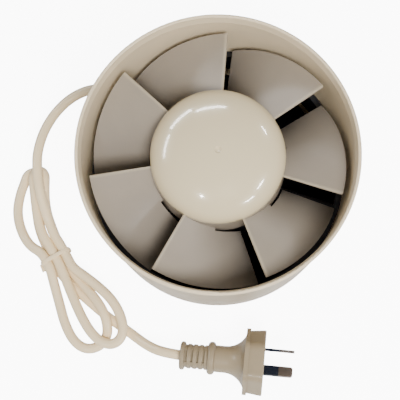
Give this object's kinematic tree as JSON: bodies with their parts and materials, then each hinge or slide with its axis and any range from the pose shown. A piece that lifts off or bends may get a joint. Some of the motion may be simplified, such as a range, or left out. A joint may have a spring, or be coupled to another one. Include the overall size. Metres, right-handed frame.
{
  "type": "inline duct fan",
  "caption": "Axial fan in a short round duct section for 150 mm ducting, with an internal shaded-pole motor and a supply cord with a two-pin plug, folded and tied.",
  "frame": {"origin": "centre of the duct's outlet end, on the surface it stands on", "axes": "+Z along the duct axis from the outlet to the inlet; the cord leaves the wall at 137 degrees from +X and lies at -X and -Y"},
  "size_m": [0.2021, 0.2024, 0.103],
  "materials": {
    "housing": "satin moulded ABS, warm off-white",
    "impeller": "glossy dome, satin blades",
    "mount": "satin moulded ABS, black",
    "cover": "satin moulded ABS, black",
    "steel": "zinc plated",
    "shaft_steel": "ground",
    "lamination": "stacked electrical steel",
    "die_cast": "as cast",
    "copper": "enamelled copper wire",
    "bronze": "sintered, oil filled",
    "brass": "turned brass",
    "felt": "oiled wool felt",
    "nylon": "glass-filled nylon",
    "fibre": "vulcanised fibre",
    "grommet": "soft PVC",
    "cord": "cream PVC sheath",
    "wire": "PVC insulation, blue and brown",
    "plug": "moulded PVC, beige",
    "pin": "nickel-plated brass",
    "pin_sleeve": "moulded insulation, near black"
  },
  "bodies": {
    "fan_body": {"duct_housing": "housing", "motor_mount": "mount", "mount_screws": "steel", "motor_front_bracket": "die_cast", "motor_rear_bracket": "die_cast", "stator_stack": "lamination", "coil_bobbins": "nylon", "stator_windings": "copper", "shading_rings": "copper", "front_bearing": "bronze", "rear_bearing": "bronze", "bearing_felts": "felt", "bearing_retainers": "steel", "motor_tie_screws": "steel", "thermal_cutout": "nylon", "terminal_block": "nylon", "terminal_screws": "steel", "inner_lead": "cord", "lead_cores": "wire", "motor_leads": "wire", "cord_anchor": "nylon", "anchor_screws": "steel", "rear_cover": "cover", "cover_screws": "steel", "cable_grommet": "grommet", "cord_feed": "cord", "cord_hank": "cord", "cord_lead": "cord", "cord_tie": "cord", "plug_body": "plug", "plug_pins": "pin", "pin_sleeves": "pin_sleeve"},
    "rotor": {"impeller": "impeller", "hub_bush": "brass", "motor_shaft": "shaft_steel", "rotor_core": "lamination", "rotor_cage": "die_cast", "rotor_spacers": "nylon", "thrust_washers": "fibre", "shaft_clip": "steel"}
  },
  "joints": [
    {"name": "impeller_spin", "type": "hinge", "parent": "fan_body", "child": "rotor", "pos_m": [0, 0, 0.05], "axis": [0, 0, 1], "continuous": true}
  ]
}
